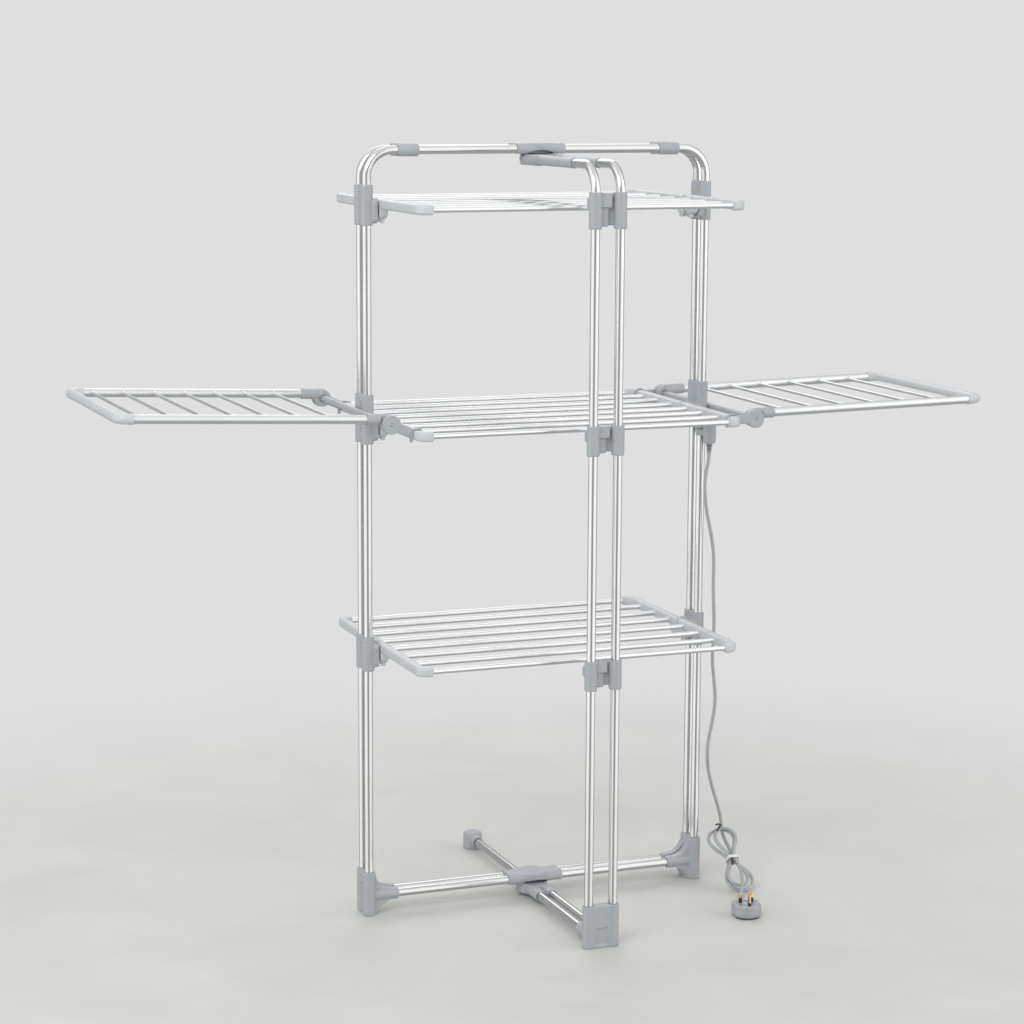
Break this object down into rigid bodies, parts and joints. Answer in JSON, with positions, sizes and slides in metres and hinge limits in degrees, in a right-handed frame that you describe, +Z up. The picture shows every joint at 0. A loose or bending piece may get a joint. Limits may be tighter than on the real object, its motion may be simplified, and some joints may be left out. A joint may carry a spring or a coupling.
{
  "type": "heated clothes airer",
  "caption": "Folding tower airer with heated shelves of round rods, a pair of hook-on side wings and a mains cord tied in a hank",
  "frame": {"origin": "on the floor, on the vertical axis of the two hubs, which is the middle of the footprint without the cord", "axes": "+X along the main frame towards the side with the cord, -Y towards the front posts, +Z up"},
  "size_m": [1.6846, 0.691, 1.4295],
  "materials": {
    "frame_tube": "satin",
    "shelf_rod": "satin",
    "wing_tube": "silver white, satin",
    "moulding": "fine matte grain",
    "rail_moulding": "fine matte grain",
    "hinge_bar": "smooth",
    "steel": "plated",
    "heating_wire": "silicone sleeve",
    "terminal_plastic": "moulded",
    "cord_rubber": "satin sheath",
    "tie_plastic": "ribbon",
    "plug_plastic": "moulded",
    "pin_brass": "polished"
  },
  "bodies": {
    "main_frame": {"side_posts": "frame_tube", "top_bars": "frame_tube", "bar_couplers": "moulding", "base_bars": "frame_tube", "side_feet": "moulding", "top_hub": "moulding", "base_hub": "moulding", "hub_bolts": "steel", "left_brackets": "moulding", "right_brackets": "moulding", "shelf_pins": "steel", "left_hooks": "moulding", "left_hinge_bar": "hinge_bar", "right_hooks": "moulding", "right_hinge_bar": "hinge_bar", "power_housing": "moulding", "terminal_block": "terminal_plastic", "strain_relief": "cord_rubber", "cord_drop": "cord_rubber", "cord_hank": "cord_rubber", "hank_tie": "tie_plastic", "cord_lead": "cord_rubber", "plug_body": "plug_plastic", "plug_pins": "pin_brass"},
    "front_frame": {"front_posts": "frame_tube", "front_arms": "frame_tube", "front_couplers": "moulding", "front_base_tubes": "frame_tube", "rear_leg": "frame_tube", "top_swivel": "moulding", "base_swivel": "moulding", "front_foot": "moulding", "rear_foot": "moulding", "front_brackets": "moulding"},
    "low_front": {"low_front_rails": "rail_moulding", "low_front_rods": "shelf_rod", "low_front_heaters": "heating_wire"},
    "low_rear": {"low_rear_rails": "rail_moulding", "low_rear_rods": "shelf_rod", "low_rear_heaters": "heating_wire"},
    "mid_front": {"mid_front_rails": "rail_moulding", "mid_front_rods": "shelf_rod", "mid_front_heaters": "heating_wire"},
    "mid_rear": {"mid_rear_rails": "rail_moulding", "mid_rear_rods": "shelf_rod", "mid_rear_heaters": "heating_wire"},
    "top_front": {"top_front_rails": "rail_moulding", "top_front_rods": "shelf_rod", "top_front_heaters": "heating_wire"},
    "top_rear": {"top_rear_rails": "rail_moulding", "top_rear_rods": "shelf_rod", "top_rear_heaters": "heating_wire"},
    "left_wing": {"left_wing_tubes": "wing_tube", "left_wing_rods": "wing_tube", "left_wing_end": "moulding", "left_wing_knuckles": "moulding"},
    "right_wing": {"right_wing_tubes": "wing_tube", "right_wing_rods": "wing_tube", "right_wing_end": "moulding", "right_wing_knuckles": "moulding"}
  },
  "joints": [
    {"name": "frame_swing", "type": "hinge", "parent": "main_frame", "child": "front_frame", "pos_m": [0, 0, 0.018], "axis": [0, 0, -1], "range_deg": [0, 75]},
    {"name": "low_front_fold", "type": "hinge", "parent": "main_frame", "child": "low_front", "pos_m": [0, -0.02, 0.497], "axis": [1, 0, 0], "range_deg": [0, 90]},
    {"name": "low_rear_fold", "type": "hinge", "parent": "main_frame", "child": "low_rear", "pos_m": [0, 0.02, 0.497], "axis": [-1, 0, 0], "range_deg": [0, 90]},
    {"name": "mid_front_fold", "type": "hinge", "parent": "main_frame", "child": "mid_front", "pos_m": [0, -0.02, 0.917], "axis": [1, 0, 0], "range_deg": [0, 90]},
    {"name": "mid_rear_fold", "type": "hinge", "parent": "main_frame", "child": "mid_rear", "pos_m": [0, 0.02, 0.917], "axis": [-1, 0, 0], "range_deg": [0, 90]},
    {"name": "top_front_fold", "type": "hinge", "parent": "main_frame", "child": "top_front", "pos_m": [0, -0.02, 1.31], "axis": [1, 0, 0], "range_deg": [0, 90]},
    {"name": "top_rear_fold", "type": "hinge", "parent": "main_frame", "child": "top_rear", "pos_m": [0, 0.02, 1.31], "axis": [-1, 0, 0], "range_deg": [0, 90]},
    {"name": "left_wing_hinge", "type": "hinge", "parent": "main_frame", "child": "left_wing", "pos_m": [-0.353, 0, 0.949], "axis": [0, -1, 0], "range_deg": [0, 78]},
    {"name": "right_wing_hinge", "type": "hinge", "parent": "main_frame", "child": "right_wing", "pos_m": [0.353, 0, 0.93], "axis": [0, 1, 0], "range_deg": [0, 78]}
  ],
  "couplings": [
    {"joint": "low_front_fold", "follows": "frame_swing", "ratio": 1.2},
    {"joint": "low_rear_fold", "follows": "frame_swing", "ratio": 1.2},
    {"joint": "mid_front_fold", "follows": "frame_swing", "ratio": 1.2},
    {"joint": "mid_rear_fold", "follows": "frame_swing", "ratio": 1.2},
    {"joint": "top_front_fold", "follows": "frame_swing", "ratio": 1.2},
    {"joint": "top_rear_fold", "follows": "frame_swing", "ratio": 1.2}
  ]
}
